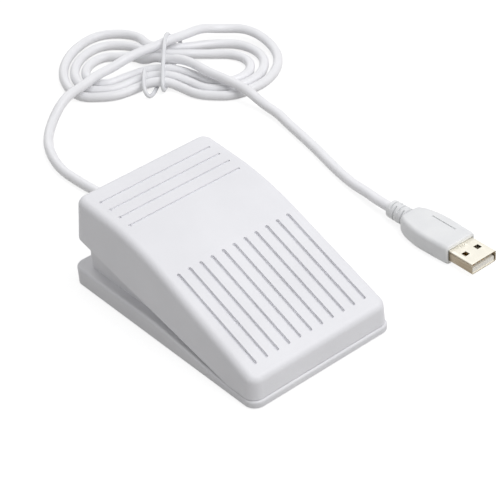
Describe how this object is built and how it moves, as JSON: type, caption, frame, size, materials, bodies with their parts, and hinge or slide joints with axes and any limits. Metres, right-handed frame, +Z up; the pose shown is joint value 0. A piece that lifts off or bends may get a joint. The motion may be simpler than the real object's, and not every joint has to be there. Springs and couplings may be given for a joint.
{
  "type": "usb foot pedal switch",
  "caption": "Foot switch: hinged wedge cover on a shallow base, with return springs and a microswitch inside, and a thin cord in a tied hank that ends in a flat rectangular plug.",
  "frame": {"origin": "middle of the pedal's footprint, on the surface that it stands on", "axes": "+Y from the low front to the high rear, where the cord leaves, +X to the right seen from the front, +Z up"},
  "size_m": [0.1573, 0.2347, 0.038],
  "materials": {
    "cover_plastic": "moulded, fine texture",
    "base_plastic": "moulded, fine texture",
    "cord_jacket": "extruded soft plastic, satin",
    "plug_plastic": "moulded soft plastic, satin",
    "tie_plastic": "plastic-coated wire",
    "nickel_plate": "bright nickel plate",
    "tongue_plastic": "moulded",
    "contact_gold": "gold flash",
    "foot_rubber": "matte",
    "steel": "zinc plated",
    "spring_steel": "drawn wire",
    "board_laminate": "solder mask",
    "black_plastic": "moulded",
    "plunger_red": "moulded",
    "tin": "tin plated",
    "capacitor_ceramic": "fired ceramic",
    "wire_red": "extruded",
    "wire_white": "extruded",
    "wire_green": "extruded",
    "wire_black": "extruded"
  },
  "bodies": {
    "base": {"base_housing": "base_plastic", "bottom_cover": "base_plastic", "cover_screws": "steel", "rubber_feet": "foot_rubber", "return_spring_left": "spring_steel", "return_spring_right": "spring_steel", "circuit_board": "board_laminate", "board_screws": "steel", "switch_case": "black_plastic", "lever_pin": "steel", "switch_terminals": "tin", "controller_chip": "black_plastic", "crystal": "tin", "ceramic_capacitors": "capacitor_ceramic", "resistors": "black_plastic", "clamp_bar": "base_plastic", "clamp_screws": "steel", "cord_tail": "cord_jacket", "wire_red": "wire_red", "wire_white": "wire_white", "wire_green": "wire_green", "wire_black": "wire_black", "cord_strain_relief": "cord_jacket", "cord_lead_in": "cord_jacket", "cord_hank": "cord_jacket", "cord_lead_out": "cord_jacket", "wire_tie": "tie_plastic", "plug_strain_relief": "plug_plastic", "plug_overmould": "plug_plastic", "plug_shell": "nickel_plate", "plug_tongue": "tongue_plastic", "plug_contacts": "contact_gold"},
    "pedal": {"pedal_cover": "cover_plastic", "hinge_pin": "steel"},
    "lever": {"switch_lever": "steel"},
    "plunger": {"switch_plunger": "plunger_red"}
  },
  "joints": [
    {"name": "pedal_hinge", "type": "hinge", "parent": "base", "child": "pedal", "pos_m": [0, -0.038, 0.0074], "axis": [-1, 0, 0], "range_deg": [0, 4.5], "stiffness_Nm_per_rad": 1, "springref_deg": -11.46, "deforming": ["return_spring_left", "return_spring_right"]},
    {"name": "lever_hinge", "type": "hinge", "parent": "base", "child": "lever", "pos_m": [0, -0.014, 0.0169], "axis": [-1, 0, 0], "range_deg": [0, 11.5]},
    {"name": "plunger_slide", "type": "slide", "parent": "base", "child": "plunger", "axis": [0, 0, -1], "range_m": [0, 0.0008]}
  ],
  "couplings": [
    {"joint": "lever_hinge", "follows": "pedal_hinge", "ratio": 2.5},
    {"joint": "plunger_slide", "follows": "pedal_hinge", "m_per_rad": 0.0085}
  ]
}
